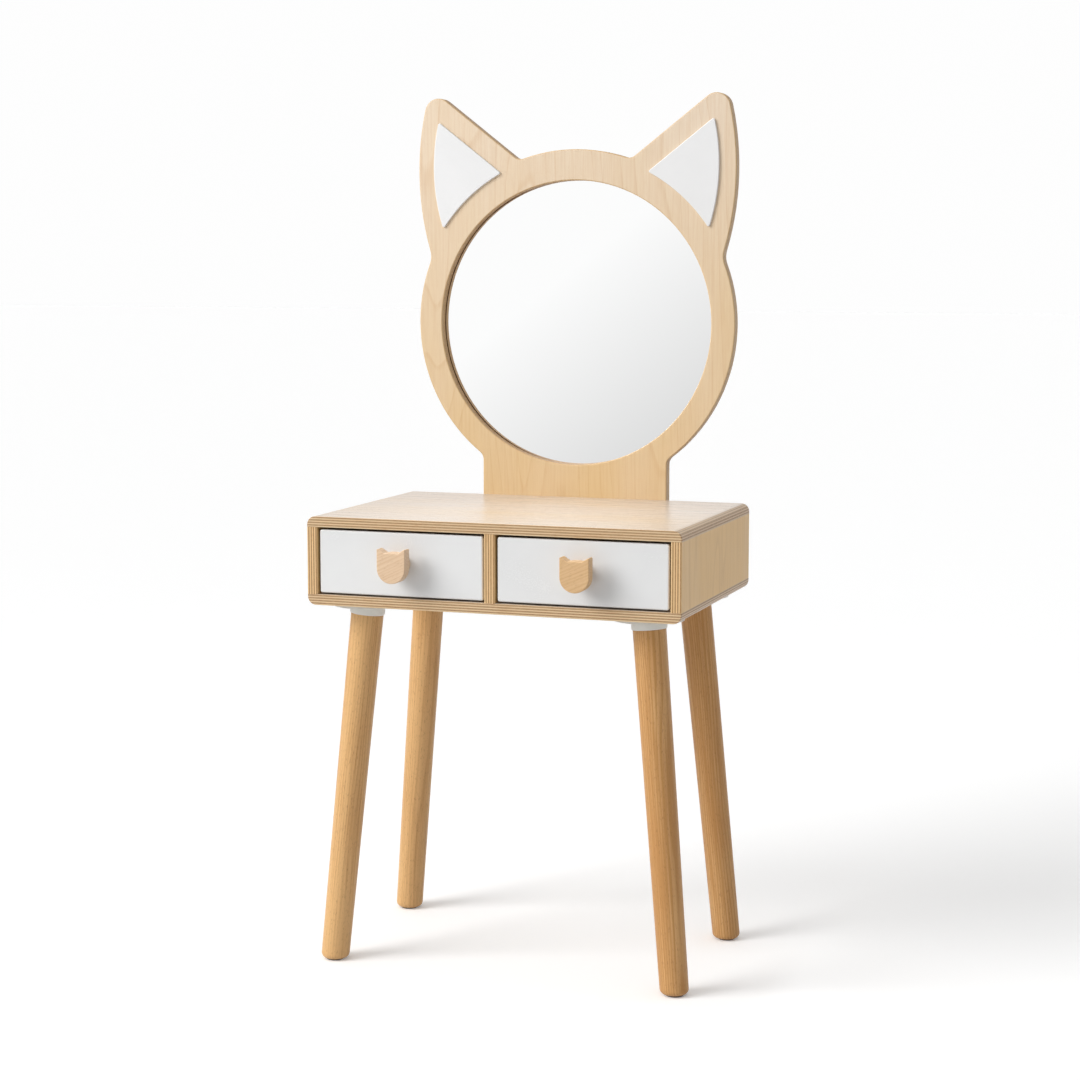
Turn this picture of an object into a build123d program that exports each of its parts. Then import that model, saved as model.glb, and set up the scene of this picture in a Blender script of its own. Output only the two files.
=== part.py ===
from build123d import *
import math
import os

# A child's dressing table. A birch plywood case holds two painted drawers and stands on four
# splayed beech legs. A plywood board with a round mirror and two ears is screwed to its back.
# Millimetres. X runs across the table, Y from the front to the back, Z up from the floor.

# ---------------------------------------------------------------------------
# Driving dimensions
# ---------------------------------------------------------------------------

# Table
TABLE_WIDTH = 450.0           # across the case
TABLE_DEPTH = 300.0           # front edges to back edges of the case
TABLE_HEIGHT = 535.0          # floor to table top
CASE_HEIGHT = 103.5           # table top to the underside of the case

# Plywood case
PANEL_T = 12.5                # top, bottom and sides
DIVIDER_T = 12.5              # upright between the drawers
CASE_CORNER_R = 10.0          # rounding along the four long outer edges
EDGE_SOFT_R = 0.8             # sanded front edges
BACK_T = 3.0                  # back panel, held in a groove
BACK_GROOVE_DEPTH = 2.5
BACK_GROOVE_PLAY = 0.1        # gap on each side of the back panel in its groove
BACK_INSET = 10.0             # back edges of the case to the back panel

# Dowels that hold the case together
CASE_DOWEL_D = 6.0
CASE_DOWEL_LENGTH = 25.0
CASE_DOWEL_SEAT = 9.0         # how deep a dowel goes into the top or bottom panel
CASE_DOWEL_END = 40.0         # outer dowels to the front and back edges
DOWEL_END_PLAY = 1.0          # glue room past the end of a dowel
FIT_PLAY = 0.05               # radial room of a dowel, bolt or screw in its hole
HEAD_PLAY = 0.2               # radial room of a sunk screw head

# Drawers
DRAWER_TRAVEL = 190.0
DRAWER_SIDE_GAP = 2.4         # drawer to the upright on each side
DRAWER_TOP_GAP = 2.8          # front to the top panel
DRAWER_BOTTOM_GAP = 2.0       # front to the bottom panel
DRAWER_RECESS = 2.3           # front set back from the edges of the case
DRAWER_RUN_GAP = 0.3          # drawer sides above the bottom panel they run on
DRAWER_BACK_GAP = 4.0         # closed drawer to the back panel
DRAWER_FRONT_T = 12.0
DRAWER_CORNER_R = 2.5         # corners of the painted front
DRAWER_EDGE_R = 2.0           # rounded face edges of the painted front
DRAWER_SIDE_T = 9.0
DRAWER_BOX_HEIGHT = 68.0
DRAWER_FLOOR_T = 3.0
DRAWER_FLOOR_RISE = 6.0       # lower edge of the sides to the floor panel
DRAWER_GROOVE_DEPTH = 3.5
DRAWER_GROOVE_PLAY = 0.1
DRAWER_DOWEL_D = 5.0
DRAWER_DOWEL_LENGTH = 22.0
DRAWER_DOWEL_SEAT = 8.0       # how deep a dowel goes into the painted front
DRAWER_SCREW_D = 3.5
DRAWER_SCREW_LENGTH = 28.0
JOINT_SPREAD = 40.0           # between the two dowels or screws of a drawer corner

# Stop blocks under the top panel that catch the drawer backs
STOP_HEIGHT = 14.0
STOP_LENGTH = 12.0
STOP_WIDTH = 30.0
STOP_PLAY = 0.3               # block to the drawer back at full travel
STOP_SCREW_D = 3.5
STOP_SCREW_LENGTH = 21.0

# Cat-head knobs
KNOB_WIDTH = 34.5
KNOB_HEIGHT = 40.1            # ear tip to chin, before the tips are rounded
KNOB_T = 13.5
KNOB_RISE = 1.6               # stem above the middle of the drawer front
KNOB_EAR_TIP_X = 16.5
KNOB_NOTCH_X = 8.2
KNOB_EAR_DEPTH = 5.3          # ear tip down to the notch beside the forehead
KNOB_EAR_SLANT = 1.5          # ear tip down to the upright side of the head
KNOB_BROW_RISE = 0.8          # forehead above the notches
KNOB_TIP_R = 1.4
KNOB_NOTCH_R = 1.2
KNOB_EDGE_R = 1.0
KNOB_STEM_D = 24.5
KNOB_STEM_LENGTH = 15.5
KNOB_SCREW_D = 4.0
KNOB_SCREW_GRIP = 8.0         # thread inside the knob

# Legs
LEG_INSET_X = 53.5            # side of the case to the leg's axis, at the underside
LEG_INSET_Y = 53.5            # front or back of the case to the leg's axis, at the underside
LEG_SPLAY_X = 5.2             # degrees outwards
LEG_SPLAY_Y = 2.6             # degrees to the front or back
LEG_TOP_D = 38.4
LEG_FOOT_D = 33.3
LEG_FOOT_R = 6.3              # rounded lower end
LEG_TOP_CHAMFER = 0.6
PAD_D = 20.0
PAD_T = 1.5

# Moulded leg plates
PLATE_D = 82.0
PLATE_RIM_T = 4.5
PLATE_T = 7.5                 # where the saucer meets the collar
PLATE_CONE_D = 46.0
COLLAR_D = 41.0
COLLAR_LENGTH = 15.5          # underside of the case to the leg, along the leg's axis
COLLAR_CHAMFER = 0.9
INSERT_D = 12.0
INSERT_LENGTH = 11.0
BOLT_D = 8.0
BOLT_IN_LEG = 28.0
PLATE_SCREW_COUNT = 3
PLATE_SCREW_RADIUS = 32.0
PLATE_SCREW_D = 4.0
PLATE_SCREW_BITE = 9.5        # thread inside the bottom panel
PLATE_SCREW_FLOOR = 2.0       # plate left under a screw head

# Mirror board
BOARD_T = 15.0
MIRROR_HOLE_R = 175.0
RING_WIDTH = 29.7             # hole to the outline at the sides
RING_DROP = 10.6              # lowest point of the ring above the table top
CAP_RISE = 7.8                # outline between the ears beyond the ring's outer circle
NECK_WIDTH = 240.0
BOARD_EDGE_R = 1.5
NECK_CORNER_R = 8.0
NECK_BEND_R = 12.0            # where the neck runs into the ring
REBATE_WIDTH = 6.0
REBATE_DEPTH = 3.2
GLASS_T = 3.0
GLASS_PLAY = 0.5              # glass to the rim of its rebate
COVER_BORDER = 11.0           # back cover beyond the rebate
COVER_T = 3.0
COVER_SCREW_COUNT = 8
COVER_SCREW_EDGE = 5.5        # screws to the edge of the cover
COVER_SCREW_D = 3.0
COVER_SCREW_LENGTH = 13.0

# Ears, measured from the centre of the mirror
EAR_SLOPE = 37.6              # degrees, upper edge
EAR_EDGE_OFFSET = 114.3       # upper edge, carried on, to the centre of the mirror
EAR_SIDE_R = 345.0            # bulging outer side
EAR_SIDE_RISE = 187.2         # fullest point above the centre of the mirror
EAR_TIP_R = 18.0
EAR_NOTCH_R = 12.0
EAR_WAIST_R = 25.0

# White ear panels
INLAY_T = 3.0
INLAY_BORDER = 26.0           # to the ear's upper edge
INLAY_SIDE_INSET = 20.8       # to the fullest point of the ear's side
INLAY_SIDE_R = 240.0
INLAY_SIDE_RISE = 191.7
INLAY_RING_GAP = 2.3          # beyond the ring's outer circle
INLAY_CORNER_R = 2.0
INLAY_EDGE_R = 1.0

# Screws and washers that hold the mirror board to the case
BOARD_SCREW_D = 4.5
BOARD_SCREW_LENGTH = 50.0
BOARD_SCREW_SPAN = 190.0      # between the left and right screws
WASHER_D = 14.0
WASHER_T = 1.2

# Screw heads, as shares of the screw's diameter
HEAD_WIDTH = 1.9
HEAD_HEIGHT = 0.55
RECESS_WIDTH = 1.1
RECESS_SLOT = 0.25
RECESS_DEPTH = 0.3
HEAD_ROUND = 0.6              # rounding of a head, as a share of its height
SCREW_POINT = 0.25            # chamfer at the end of the shank
DOWEL_EASE = 0.1              # chamfer at the ends of a dowel or bolt

CUT_PAST = 1.0                # how far a cutting tool runs past the face it opens

# ---------------------------------------------------------------------------
# Places that follow from the driving dimensions
# ---------------------------------------------------------------------------

SIDES = {"left": -1, "right": 1}
ENDS = {"front": -1, "back": 1}

HALF_WIDTH = TABLE_WIDTH / 2
FRONT_Y = -TABLE_DEPTH / 2
BACK_Y = TABLE_DEPTH / 2
CASE_BOTTOM = TABLE_HEIGHT - CASE_HEIGHT
BAY_TOP = TABLE_HEIGHT - PANEL_T
BAY_BOTTOM = CASE_BOTTOM + PANEL_T
BAY_OUTER_X = HALF_WIDTH - PANEL_T
BAY_INNER_X = DIVIDER_T / 2
BAY_CENTRE_X = (BAY_OUTER_X + BAY_INNER_X) / 2
GROOVE_BACK = BACK_Y - BACK_INSET + BACK_GROOVE_PLAY
GROOVE_FRONT = BACK_Y - BACK_INSET - BACK_T - BACK_GROOVE_PLAY

DRAWER_WIDTH = BAY_OUTER_X - BAY_INNER_X - 2 * DRAWER_SIDE_GAP
DRAWER_FACE_Y = FRONT_Y + DRAWER_RECESS
DRAWER_BOX_Y = DRAWER_FACE_Y + DRAWER_FRONT_T
DRAWER_END_Y = GROOVE_FRONT - DRAWER_BACK_GAP
DRAWER_BACK_FACE_Y = DRAWER_END_Y - DRAWER_SIDE_T
DRAWER_LOW_Z = BAY_BOTTOM + DRAWER_RUN_GAP
DRAWER_HIGH_Z = DRAWER_LOW_Z + DRAWER_BOX_HEIGHT
DRAWER_MID_Z = (DRAWER_LOW_Z + DRAWER_HIGH_Z) / 2
FRONT_LOW_Z = BAY_BOTTOM + DRAWER_BOTTOM_GAP
FRONT_HIGH_Z = BAY_TOP - DRAWER_TOP_GAP
KNOB_Z = (FRONT_LOW_Z + FRONT_HIGH_Z) / 2 + KNOB_RISE
KNOB_FACE_Y = DRAWER_FACE_Y - KNOB_STEM_LENGTH - KNOB_T
STOP_BACK_Y = DRAWER_BACK_FACE_Y - DRAWER_TRAVEL - STOP_PLAY

RING_R = MIRROR_HOLE_R + RING_WIDTH
CAP_R = RING_R + CAP_RISE
MIRROR_Z = TABLE_HEIGHT + RING_DROP + RING_R
REBATE_R = MIRROR_HOLE_R + REBATE_WIDTH
COVER_R = REBATE_R + COVER_BORDER
BOARD_BACK_Y = BACK_Y + BOARD_T
BOARD_SCREW_ZS = (TABLE_HEIGHT - PANEL_T / 2, CASE_BOTTOM + PANEL_T / 2)

# ---------------------------------------------------------------------------
# Helpers
# ---------------------------------------------------------------------------

nodes = {}


def block(x, y, z):
    """A box between two limits on each axis."""
    size = [b - a for a, b in (x, y, z)]
    middle = [(a + b) / 2 for a, b in (x, y, z)]
    return Pos(*middle) * Box(*size)


def rod(radius, start, end):
    """A round bar from one point to another."""
    axis = Vector(*end) - Vector(*start)
    plane = Plane(origin=Vector(*start), z_dir=axis)
    return plane * Cylinder(radius, axis.length, align=(Align.CENTER, Align.CENTER, Align.MIN))


def facing_front(y):
    """A drawing plane at depth y: its x is X, its y is Z, and it extrudes towards the front."""
    return Plane(origin=(0, y, 0), x_dir=(1, 0, 0), z_dir=(0, -1, 0))


def dowel(diameter, start, end):
    """A dowel with eased ends."""
    bar = rod(diameter / 2, start, end)
    return chamfer(bar.edges().filter_by(GeomType.CIRCLE), diameter * DOWEL_EASE)


def screw(diameter, head_at, direction, length):
    """A round-headed screw with a cross recess; head_at is the middle of the bearing face."""
    way = Vector(*direction)
    plane = Plane(origin=head_at, z_dir=way)
    head_r = diameter * HEAD_WIDTH / 2
    head_h = diameter * HEAD_HEIGHT
    head = Pos(0, 0, -head_h / 2) * Cylinder(head_r, head_h)
    head = fillet(head.edges().sort_by(Axis.Z)[0], head_h * HEAD_ROUND)
    for turn in (0, 90):
        slot = Box(diameter * RECESS_WIDTH, diameter * RECESS_SLOT, 2 * diameter * RECESS_DEPTH)
        head -= Pos(0, 0, -head_h) * Rot(0, 0, turn) * slot
    shank = Pos(0, 0, length / 2) * Cylinder(diameter / 2, length)
    shank = chamfer(shank.edges().sort_by(Axis.Z)[-1], diameter * SCREW_POINT)
    return plane * (head + shank)


def pilot(diameter, head_at, direction, length):
    """The hole for a screw's shank."""
    way = Vector(*direction).normalized()
    end = Vector(*head_at) + way * (length + DOWEL_END_PLAY)
    return rod(diameter / 2 + FIT_PLAY, head_at, tuple(end))


def nearest(sketch, points):
    """The corners of a drawing that lie closest to the given points."""
    return [min(sketch.vertices(), key=lambda v: math.hypot(v.X - x, v.Y - y)) for x, y in points]


def mirrored(points):
    """Each point and its twin on the other side of the middle line."""
    return [(side * x, y) for x, y in points for side in (-1, 1)]


# ---------------------------------------------------------------------------
# Plywood case
# ---------------------------------------------------------------------------

UPRIGHTS = {
    "left_side_panel": (-HALF_WIDTH, -BAY_OUTER_X),
    "centre_divider": (-BAY_INNER_X, BAY_INNER_X),
    "right_side_panel": (BAY_OUTER_X, HALF_WIDTH),
}

back_groove = block(
    (-BAY_OUTER_X - BACK_GROOVE_DEPTH, BAY_OUTER_X + BACK_GROOVE_DEPTH),
    (GROOVE_FRONT, GROOVE_BACK),
    (BAY_BOTTOM - BACK_GROOVE_DEPTH, BAY_TOP + BACK_GROOVE_DEPTH),
)


def case_dowel_lines():
    """Where the dowels run: from inside the top or bottom panel into the end of an upright."""
    lines = []
    for x_low, x_high in UPRIGHTS.values():
        for y in (FRONT_Y + CASE_DOWEL_END, 0, BACK_Y - CASE_DOWEL_END):
            for seam, outwards in ((BAY_TOP, 1), (BAY_BOTTOM, -1)):
                x = (x_low + x_high) / 2
                start = (x, y, seam + outwards * CASE_DOWEL_SEAT)
                end = (x, y, seam - outwards * (CASE_DOWEL_LENGTH - CASE_DOWEL_SEAT))
                lines.append((start, end, -outwards))
    return lines


def drill_case_dowels(panel):
    """Dowel holes, a little deeper than the dowel on the upright's side."""
    for start, end, inwards in case_dowel_lines():
        deeper = (end[0], end[1], end[2] + inwards * DOWEL_END_PLAY)
        panel -= rod(CASE_DOWEL_D / 2 + FIT_PLAY, start, deeper)
    return panel


def board_screws():
    """Bearing points of the four screws through the neck of the mirror board."""
    y = BOARD_BACK_Y + WASHER_T
    return [(side * BOARD_SCREW_SPAN / 2, y, z) for side in SIDES.values() for z in BOARD_SCREW_ZS]


def stop_screw(side):
    """Bearing point of the screw that holds a stop block."""
    return (side * BAY_CENTRE_X, STOP_BACK_Y - STOP_LENGTH / 2, BAY_TOP - STOP_HEIGHT)


def horizontal_panel(z_low, z_high, outer):
    """The top or bottom panel, rounded along its outer ends; outer is -1 for the bottom."""
    panel = block((-HALF_WIDTH, HALF_WIDTH), (FRONT_Y, BACK_Y), (z_low, z_high))
    ends = panel.edges().filter_by(Axis.Y).sort_by(Axis.Z)
    panel = fillet(ends[-2:] if outer > 0 else ends[:2], min(CASE_CORNER_R, PANEL_T - 1))
    front = panel.faces().sort_by(Axis.Y)[0].edges()
    panel = fillet(front.filter_by(Axis.X), EDGE_SOFT_R)
    panel = drill_case_dowels(panel - back_groove)
    for point in board_screws():
        panel -= pilot(BOARD_SCREW_D, point, (0, -1, 0), BOARD_SCREW_LENGTH)
    return panel


top_panel = horizontal_panel(BAY_TOP, TABLE_HEIGHT, 1)
for side in SIDES.values():
    top_panel -= pilot(STOP_SCREW_D, stop_screw(side), (0, 0, 1), STOP_SCREW_LENGTH)
nodes["top_panel"] = top_panel

bottom_panel = horizontal_panel(CASE_BOTTOM, BAY_BOTTOM, -1)

for name, (x_low, x_high) in UPRIGHTS.items():
    back = GROOVE_FRONT if name == "centre_divider" else BACK_Y
    upright = block((x_low, x_high), (FRONT_Y, back), (BAY_BOTTOM, BAY_TOP))
    front = upright.faces().sort_by(Axis.Y)[0].edges()
    upright = fillet(front.filter_by(Axis.Z), EDGE_SOFT_R)
    nodes[name] = drill_case_dowels(upright - back_groove)

nodes["case_back_panel"] = block(
    (-BAY_OUTER_X - BACK_GROOVE_DEPTH + BACK_GROOVE_PLAY,
     BAY_OUTER_X + BACK_GROOVE_DEPTH - BACK_GROOVE_PLAY),
    (GROOVE_FRONT + BACK_GROOVE_PLAY, GROOVE_BACK - BACK_GROOVE_PLAY),
    (BAY_BOTTOM - BACK_GROOVE_DEPTH + BACK_GROOVE_PLAY,
     BAY_TOP + BACK_GROOVE_DEPTH - BACK_GROOVE_PLAY),
)

nodes["case_dowels"] = [dowel(CASE_DOWEL_D, start, end) for start, end, _ in case_dowel_lines()]

# ---------------------------------------------------------------------------
# Stop blocks
# ---------------------------------------------------------------------------

for label, side in SIDES.items():
    x = side * BAY_CENTRE_X
    stop = block(
        (x - STOP_WIDTH / 2, x + STOP_WIDTH / 2),
        (STOP_BACK_Y - STOP_LENGTH, STOP_BACK_Y),
        (BAY_TOP - STOP_HEIGHT, BAY_TOP),
    )
    nodes[f"{label}_drawer_stop"] = stop - pilot(
        STOP_SCREW_D, stop_screw(side), (0, 0, 1), STOP_SCREW_LENGTH)

nodes["drawer_stop_screws"] = [
    screw(STOP_SCREW_D, stop_screw(side), (0, 0, 1), STOP_SCREW_LENGTH) for side in SIDES.values()
]

# ---------------------------------------------------------------------------
# Legs, leg plates and foot pads
# ---------------------------------------------------------------------------

PLATE_SCREW_LENGTH = PLATE_SCREW_FLOOR + PLATE_SCREW_BITE
BOLT_START = COLLAR_LENGTH - INSERT_LENGTH
BOLT_END = COLLAR_LENGTH + BOLT_IN_LEG
BOLT_HOLE_R = BOLT_D / 2 + FIT_PLAY


def tapered_leg(top, splay):
    """A leg that tapers to its foot, is cut level just above the floor and rounded there."""
    slant = splay.normalized()
    length = (splay * CASE_BOTTOM).length - COLLAR_LENGTH
    taper = (LEG_TOP_D - LEG_FOOT_D) / 2 / length
    spare = LEG_FOOT_D
    blank = Cone(
        LEG_TOP_D / 2, LEG_FOOT_D / 2 - taper * spare, length + spare,
        align=(Align.CENTER, Align.CENTER, Align.MIN))
    leg = Plane(origin=top, z_dir=slant) * Pos(0, 0, COLLAR_LENGTH) * blank
    floor_point = top + splay * CASE_BOTTOM
    sunk = 4 * LEG_TOP_D
    leg -= Pos(floor_point.X, floor_point.Y, PAD_T - sunk / 2) * Box(sunk, sunk, sunk)
    leg = fillet(leg.faces().sort_by(Axis.Z)[0].edges(), LEG_FOOT_R)
    leg = chamfer(leg.faces().sort_by(Axis.Z)[-1].edges(), LEG_TOP_CHAMFER)
    return leg - rod(
        BOLT_HOLE_R, top + slant * BOLT_START, top + slant * (BOLT_END + DOWEL_END_PLAY))


def leg_plate(top, slant, screw_points):
    """A shallow saucer under the case, with a collar that points along the leg."""
    profile = Polyline(
        (0, 0), (PLATE_D / 2, 0), (PLATE_D / 2, -PLATE_RIM_T),
        (PLATE_CONE_D / 2, -PLATE_T), (0, -PLATE_T), close=True)
    saucer = Pos(*top) * revolve(Plane.XZ * make_face(profile), Axis.Z)
    collar_end = top + slant * COLLAR_LENGTH
    collar = rod(COLLAR_D / 2, top - slant * PLATE_T, collar_end)
    collar = chamfer(collar.edges().sort_by(Axis.Z)[0], COLLAR_CHAMFER)
    above = Pos(top.X, top.Y, CASE_BOTTOM + PLATE_D / 2) * Box(PLATE_D, PLATE_D, PLATE_D)
    plate = saucer + collar - above
    plate -= rod(INSERT_D / 2 + FIT_PLAY, top + slant * BOLT_START, collar_end + slant * CUT_PAST)
    head_room = PLATE_SCREW_D * HEAD_WIDTH / 2 + HEAD_PLAY
    for point in screw_points:
        plate -= pilot(PLATE_SCREW_D, point, (0, 0, 1), PLATE_SCREW_LENGTH)
        plate -= rod(head_room, point, (point[0], point[1], CASE_BOTTOM - PLATE_T - CUT_PAST))
    return plate


def plate_screw_points(top, out_x, out_y):
    """Bearing points of the screws in one leg plate, the first towards the corner of the case."""
    points = []
    for n in range(PLATE_SCREW_COUNT):
        turn = math.atan2(out_y, out_x) + n * 2 * math.pi / PLATE_SCREW_COUNT
        points.append((
            top.X + PLATE_SCREW_RADIUS * math.cos(turn),
            top.Y + PLATE_SCREW_RADIUS * math.sin(turn),
            CASE_BOTTOM - PLATE_SCREW_FLOOR))
    return points


leg_inserts = []
leg_bolts = []
plate_screws = []

for end_label, end in ENDS.items():
    for side_label, side in SIDES.items():
        label = f"{end_label}_{side_label}"
        top = Vector(
            side * (HALF_WIDTH - LEG_INSET_X), end * (BACK_Y - LEG_INSET_Y), CASE_BOTTOM)
        splay = Vector(
            side * math.tan(math.radians(LEG_SPLAY_X)),
            end * math.tan(math.radians(LEG_SPLAY_Y)), -1)
        slant = splay.normalized()
        screw_points = plate_screw_points(top, side, end)
        foot = top + splay * (CASE_BOTTOM - PAD_T)

        nodes[f"{label}_leg"] = tapered_leg(top, splay)
        nodes[f"{label}_foot_pad"] = Pos(foot.X, foot.Y, PAD_T / 2) * Cylinder(PAD_D / 2, PAD_T)
        nodes[f"{label}_leg_plate"] = leg_plate(top, slant, screw_points)

        collar_end = top + slant * COLLAR_LENGTH
        insert = rod(INSERT_D / 2, top + slant * BOLT_START, collar_end)
        insert -= rod(BOLT_HOLE_R, top, collar_end + slant * CUT_PAST)
        leg_inserts.append(insert)
        leg_bolts.append(dowel(BOLT_D, top + slant * BOLT_START, top + slant * BOLT_END))
        for point in screw_points:
            bottom_panel -= pilot(PLATE_SCREW_D, point, (0, 0, 1), PLATE_SCREW_LENGTH)
            plate_screws.append(screw(PLATE_SCREW_D, point, (0, 0, 1), PLATE_SCREW_LENGTH))

nodes["bottom_panel"] = bottom_panel
nodes["leg_plate_inserts"] = leg_inserts
nodes["leg_hanger_bolts"] = leg_bolts
nodes["leg_plate_screws"] = plate_screws

# ---------------------------------------------------------------------------
# Mirror board with ears
# ---------------------------------------------------------------------------


def under_slope(offset):
    """The region right of the middle line and below a slope at this distance from the centre."""
    rise = offset / math.cos(math.radians(EAR_SLOPE))
    reach = 2 * CAP_R
    corner_y = rise + reach * math.tan(math.radians(EAR_SLOPE))
    return make_face(Polyline((0, 0), (0, rise), (reach, corner_y), (reach, 0), close=True))


def slope_meets(offset, radius):
    """Where a slope at this distance from the centre leaves a circle round the centre."""
    turn = math.radians(EAR_SLOPE)
    along = math.sqrt(radius ** 2 - offset ** 2)
    return (along * math.cos(turn) - offset * math.sin(turn),
            along * math.sin(turn) + offset * math.cos(turn))


def circles_meet(radius, other_x, other_y, other_r):
    """The lower crossing of a circle round the centre with another circle, on the right."""
    gap = math.hypot(other_x, other_y)
    along = (gap ** 2 + radius ** 2 - other_r ** 2) / (2 * gap)
    away = math.sqrt(radius ** 2 - along ** 2)
    ux = other_x / gap
    uy = other_y / gap
    crossings = [(along * ux + s * away * uy, along * uy - s * away * ux) for s in (-1, 1)]
    return max(crossings, key=lambda point: point[0])


def twin(shape):
    """A drawing with its mirror image in the middle line."""
    return shape + mirror(shape, about=Plane.YZ)


def board_outline():
    """Outline of the board, drawn round the centre of the mirror."""
    ear_x = RING_R - EAR_SIDE_R
    ear = under_slope(EAR_EDGE_OFFSET) & Pos(ear_x, EAR_SIDE_RISE) * Circle(EAR_SIDE_R)
    notch = slope_meets(EAR_EDGE_OFFSET, CAP_R)
    wedge = Polyline((0, 0), (RING_R, 2 * CAP_R), (-RING_R, 2 * CAP_R), close=True)
    cap = Circle(CAP_R) & make_face(wedge)
    neck_low = CASE_BOTTOM - MIRROR_Z
    neck = Pos(0, neck_low / 2) * Rectangle(NECK_WIDTH, -neck_low)
    shape = Circle(RING_R) + cap + twin(ear) + neck

    half_neck = NECK_WIDTH / 2
    bend_y = -math.sqrt(RING_R ** 2 - half_neck ** 2)
    waist = circles_meet(RING_R, ear_x, EAR_SIDE_RISE, EAR_SIDE_R)
    tips = sorted(shape.vertices(), key=lambda v: v.Y)[-2:]
    shape = fillet(tips, EAR_TIP_R)
    shape = fillet(nearest(shape, mirrored([notch])), EAR_NOTCH_R)
    shape = fillet(nearest(shape, mirrored([waist])), EAR_WAIST_R)
    shape = fillet(nearest(shape, mirrored([(half_neck, bend_y)])), NECK_BEND_R)
    return fillet(nearest(shape, mirrored([(half_neck, neck_low)])), NECK_CORNER_R)


def inlay_outline():
    """The right ear panel: parallel to the ear's upper edge, hollow towards the mirror."""
    shape = under_slope(EAR_EDGE_OFFSET - INLAY_BORDER)
    side_x = RING_R - INLAY_SIDE_INSET - INLAY_SIDE_R
    shape &= Pos(side_x, INLAY_SIDE_RISE) * Circle(INLAY_SIDE_R)
    shape -= Circle(RING_R + INLAY_RING_GAP)
    shape = max(shape.faces(), key=lambda face: face.area)
    return fillet(shape.vertices(), INLAY_CORNER_R)


def round_disc(radius, y_front, y_back):
    """A disc on the mirror's axis."""
    return rod(radius, (0, y_front, MIRROR_Z), (0, y_back, MIRROR_Z))


blank = board_outline() - Circle(MIRROR_HOLE_R)
board = extrude(facing_front(BOARD_BACK_Y) * Pos(0, MIRROR_Z) * blank, BOARD_T)
faces_across = board.faces().sort_by(Axis.Y)
board = fillet(faces_across[0].edges() + faces_across[-1].outer_wire().edges(), BOARD_EDGE_R)
board -= round_disc(REBATE_R, BOARD_BACK_Y - REBATE_DEPTH, BOARD_BACK_Y + CUT_PAST)

for point in board_screws():
    board -= pilot(BOARD_SCREW_D, point, (0, -1, 0), BOARD_SCREW_LENGTH)

cover_screw_points = []
for n in range(COVER_SCREW_COUNT):
    turn = 2 * math.pi * (n + 0.5) / COVER_SCREW_COUNT
    radius = COVER_R - COVER_SCREW_EDGE
    cover_screw_points.append((
        radius * math.cos(turn), BOARD_BACK_Y + COVER_T, MIRROR_Z + radius * math.sin(turn)))

cover = round_disc(COVER_R, BOARD_BACK_Y, BOARD_BACK_Y + COVER_T)
for point in cover_screw_points:
    hole = pilot(COVER_SCREW_D, point, (0, -1, 0), COVER_SCREW_LENGTH)
    board -= hole
    cover -= hole

nodes["mirror_frame"] = board
nodes["mirror_back_cover"] = cover
nodes["mirror_glass"] = round_disc(
    REBATE_R - GLASS_PLAY, BOARD_BACK_Y - REBATE_DEPTH, BOARD_BACK_Y - REBATE_DEPTH + GLASS_T)
nodes["back_cover_screws"] = [
    screw(COVER_SCREW_D, point, (0, -1, 0), COVER_SCREW_LENGTH) for point in cover_screw_points
]

inlay = extrude(facing_front(BACK_Y) * Pos(0, MIRROR_Z) * inlay_outline(), INLAY_T)
inlay = fillet(inlay.faces().sort_by(Axis.Y)[0].edges(), INLAY_EDGE_R)
nodes["right_ear_inlay"] = inlay
nodes["left_ear_inlay"] = mirror(inlay, about=Plane.YZ)

nodes["mirror_board_screws"] = [
    screw(BOARD_SCREW_D, point, (0, -1, 0), BOARD_SCREW_LENGTH) for point in board_screws()
]
nodes["mirror_board_washers"] = [
    rod(WASHER_D / 2, (x, BOARD_BACK_Y, z), (x, y, z))
    - rod(BOARD_SCREW_D / 2 + HEAD_PLAY, (x, BOARD_BACK_Y - CUT_PAST, z), (x, y + CUT_PAST, z))
    for x, y, z in board_screws()
]

# ---------------------------------------------------------------------------
# Drawers
# ---------------------------------------------------------------------------


def knob_outline():
    """Cat head: two pointed ears, a flat brow between them and a round chin."""
    half = KNOB_WIDTH / 2
    tip_y = KNOB_HEIGHT / 2
    notch_y = tip_y - KNOB_EAR_DEPTH
    side_y = tip_y - KNOB_EAR_SLANT
    chin_y = half - KNOB_HEIGHT / 2
    brow = ThreePointArc(
        (-KNOB_NOTCH_X, notch_y), (0, notch_y + KNOB_BROW_RISE), (KNOB_NOTCH_X, notch_y))
    right_ear = Polyline(
        (KNOB_NOTCH_X, notch_y), (KNOB_EAR_TIP_X, tip_y), (half, side_y), (half, chin_y))
    chin = ThreePointArc((half, chin_y), (0, -KNOB_HEIGHT / 2), (-half, chin_y))
    left_ear = Polyline(
        (-half, chin_y), (-half, side_y), (-KNOB_EAR_TIP_X, tip_y), (-KNOB_NOTCH_X, notch_y))
    shape = make_face([*brow.edges(), *right_ear.edges(), *chin.edges(), *left_ear.edges()])
    shape = fillet(nearest(shape, mirrored([(KNOB_NOTCH_X, notch_y)])), KNOB_NOTCH_R)
    return fillet(nearest(shape, mirrored([(KNOB_EAR_TIP_X, tip_y)])), KNOB_TIP_R)


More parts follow.
